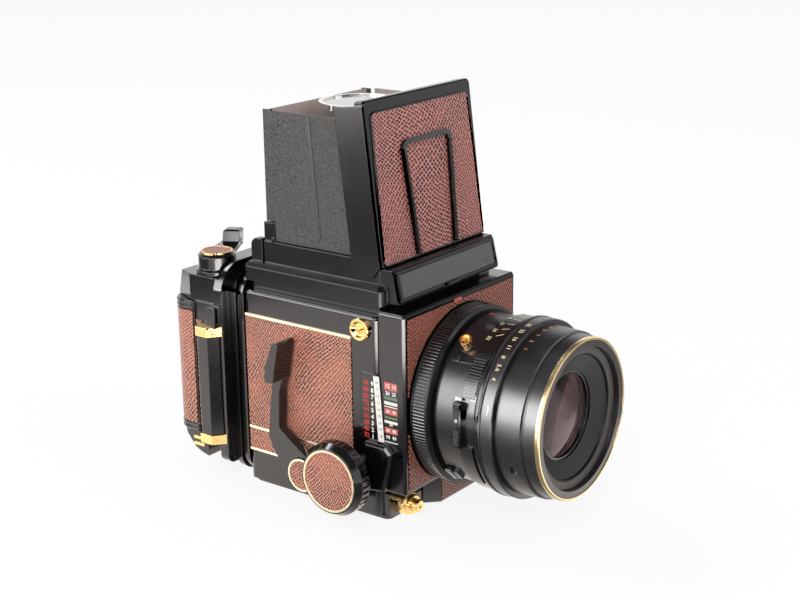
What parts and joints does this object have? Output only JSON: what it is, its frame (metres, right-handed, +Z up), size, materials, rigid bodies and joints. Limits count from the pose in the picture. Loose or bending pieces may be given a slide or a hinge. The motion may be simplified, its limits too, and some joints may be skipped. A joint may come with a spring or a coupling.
{
  "type": "medium format film camera",
  "caption": "Medium format reflex film camera: rack focused bellows front with lens, folding waist level hood and revolving roll film back.",
  "frame": {"origin": "centre of the tripod socket's mouth, on the underside of the base", "axes": "+Z up; the lens looks towards -Y; -X is the operator's right hand side with the cocking lever"},
  "size_m": [0.148, 0.2409, 0.2254],
  "materials": {
    "black_enamel": "gloss black enamel",
    "lens_black": "satin black anodised",
    "hood_crinkle": "crinkle black",
    "reptile_leather": "glossy scaled",
    "gold": "polished gold plate",
    "steel": "brushed",
    "lens_glass": "coated, polished",
    "screen_glass": "ground",
    "mirror": "front silvered",
    "bellows_cloth": "matt",
    "spool_plastic": "moulded",
    "scale_white": "printed"
  },
  "bodies": {
    "camera_body": {"body_casing": "black_enamel", "base_plate": "black_enamel", "side_leather_right": "reptile_leather", "side_leather_left": "reptile_leather", "trim_lines": "gold", "strap_lugs": "gold", "body_scale_plate": "scale_white", "focusing_screen": "screen_glass", "bellows": "bellows_cloth", "pinion_housing": "black_enamel", "shaft_collars": "black_enamel", "release_collar": "gold", "hood_base": "black_enamel", "nose_plate": "black_enamel"},
    "release": {"release_button": "gold"},
    "focus_drive": {"focus_shaft": "steel", "focus_knob_right": "black_enamel", "focus_knob_left": "black_enamel", "knob_rings": "gold", "knob_leather": "reptile_leather"},
    "focus_lock": {"focus_lock_lever": "black_enamel"},
    "cocking": {"cocking_lever": "black_enamel", "cocking_hub_ring": "gold", "cocking_hub_leather": "reptile_leather"},
    "mirror": {"mirror_frame": "black_enamel", "mirror_glass": "mirror"},
    "standard": {"front_standard": "black_enamel", "standard_leather": "reptile_leather", "focus_racks": "steel", "lens_rear_barrel": "lens_black", "lens_front_barrel": "lens_black", "lens_rim": "gold", "front_glass": "lens_glass", "rear_glass": "lens_glass", "iris_blades": "steel", "sync_socket": "gold"},
    "bayonet": {"bayonet_ring": "lens_black"},
    "speed": {"speed_ring": "lens_black"},
    "aperture": {"aperture_ring": "lens_black"},
    "depth_scale": {"depth_scale_ring": "lens_black"},
    "lid": {"hood_lid": "black_enamel", "lid_leather": "reptile_leather", "lid_moulding": "black_enamel"},
    "leaf_right": {"hood_leaf_right": "hood_crinkle"},
    "leaf_left": {"hood_leaf_left": "hood_crinkle"},
    "hood_rear": {"rear_panel": "hood_crinkle"},
    "magnifier": {"magnifier_arm": "black_enamel", "magnifier_glass": "lens_glass"},
    "film_back": {"revolving_adapter": "black_enamel", "holder_casing": "black_enamel", "lock_brackets": "gold"},
    "back_lock": {"lock_bar": "black_enamel"},
    "slide": {"dark_slide": "steel"},
    "door": {"film_door": "black_enamel", "door_leather": "reptile_leather"},
    "take_up": {"take_up_spool": "spool_plastic"},
    "supply": {"supply_spool": "spool_plastic"},
    "advance": {"advance_lever": "black_enamel", "advance_ring": "gold", "advance_leather": "reptile_leather"}
  },
  "joints": [
    {"name": "focus_slide", "type": "slide", "parent": "camera_body", "child": "standard", "axis": [0, -1, 0], "range_m": [0, 0.046], "deforming": ["bellows"]},
    {"name": "focus_turn", "type": "hinge", "parent": "camera_body", "child": "focus_drive", "pos_m": [0, -0.025, 0.0255], "axis": [1, 0, 0], "range_deg": [0, 330]},
    {"name": "focus_lock_turn", "type": "hinge", "parent": "camera_body", "child": "focus_lock", "pos_m": [0.0539, -0.025, 0.0255], "axis": [1, 0, 0], "range_deg": [0, 30]},
    {"name": "cocking_stroke", "type": "hinge", "parent": "camera_body", "child": "cocking", "pos_m": [-0.0577, 0.0045, 0.0175], "axis": [1, 0, 0], "range_deg": [0, 50], "stiffness_Nm_per_rad": 0.2},
    {"name": "mirror_flip", "type": "hinge", "parent": "camera_body", "child": "mirror", "pos_m": [0, 0.043, 0.098], "axis": [-1, 0, 0], "range_deg": [0, 45]},
    {"name": "release_press", "type": "slide", "parent": "camera_body", "child": "release", "axis": [0, 1, 0], "range_m": [0, 0.003], "stiffness_N_per_m": 500},
    {"name": "bayonet_turn", "type": "hinge", "parent": "standard", "child": "bayonet", "pos_m": [0, -0.0668, 0.0625], "axis": [0, 1, 0], "range_deg": [0, 30]},
    {"name": "speed_turn", "type": "hinge", "parent": "standard", "child": "speed", "pos_m": [0, -0.098, 0.0625], "axis": [0, 1, 0], "range_deg": [0, 90]},
    {"name": "aperture_turn", "type": "hinge", "parent": "standard", "child": "aperture", "pos_m": [0, -0.1042, 0.0625], "axis": [0, 1, 0], "range_deg": [0, 75]},
    {"name": "depth_scale_turn", "type": "hinge", "parent": "standard", "child": "depth_scale", "pos_m": [0, -0.1095, 0.0625], "axis": [0, 1, 0], "range_deg": [0, 60]},
    {"name": "lid_hinge", "type": "hinge", "parent": "camera_body", "child": "lid", "pos_m": [0, -0.0395, 0.1418], "axis": [-1, 0, 0], "range_deg": [0, 4]},
    {"name": "leaf_right_hinge", "type": "hinge", "parent": "camera_body", "child": "leaf_right", "pos_m": [-0.0446, 0, 0.1435], "axis": [0, 1, 0], "range_deg": [0, 90]},
    {"name": "leaf_left_hinge", "type": "hinge", "parent": "camera_body", "child": "leaf_left", "pos_m": [0.0446, 0, 0.1462], "axis": [0, -1, 0], "range_deg": [0, 90]},
    {"name": "rear_panel_hinge", "type": "hinge", "parent": "camera_body", "child": "hood_rear", "pos_m": [0, 0.0364, 0.1506], "axis": [1, 0, 0], "range_deg": [0, 90]},
    {"name": "magnifier_hinge", "type": "hinge", "parent": "lid", "child": "magnifier", "pos_m": [0, -0.0272, 0.2138], "axis": [-1, 0, 0], "range_deg": [0, 97]},
    {"name": "back_revolve", "type": "hinge", "parent": "camera_body", "child": "film_back", "pos_m": [0, 0.0567, 0.0625], "axis": [0, 1, 0], "range_deg": [0, 90]},
    {"name": "lock_bar_slide", "type": "slide", "parent": "film_back", "child": "back_lock", "axis": [0, 0, 1], "range_m": [0, 0.003]},
    {"name": "dark_slide_pull", "type": "slide", "parent": "film_back", "child": "slide", "axis": [1, 0, 0], "range_m": [0, 0.088]},
    {"name": "door_hinge", "type": "hinge", "parent": "film_back", "child": "door", "pos_m": [0.0605, 0.084, 0.0625], "axis": [0, 0, -1], "range_deg": [0, 100]},
    {"name": "take_up_turn", "type": "hinge", "parent": "film_back", "child": "take_up", "pos_m": [-0.0435, 0.0812, 0.06275], "axis": [0, 0, 1], "continuous": true},
    {"name": "supply_turn", "type": "hinge", "parent": "film_back", "child": "supply", "pos_m": [0.0435, 0.0812, 0.06275], "axis": [0, 0, 1], "continuous": true},
    {"name": "advance_stroke", "type": "hinge", "parent": "film_back", "child": "advance", "pos_m": [-0.0455, 0.0765, 0.1262], "axis": [0, 0, 1], "range_deg": [0, 120], "stiffness_Nm_per_rad": 0.05}
  ],
  "couplings": [
    {"joint": "focus_turn", "follows": "focus_slide", "rad_per_m": 125}
  ]
}
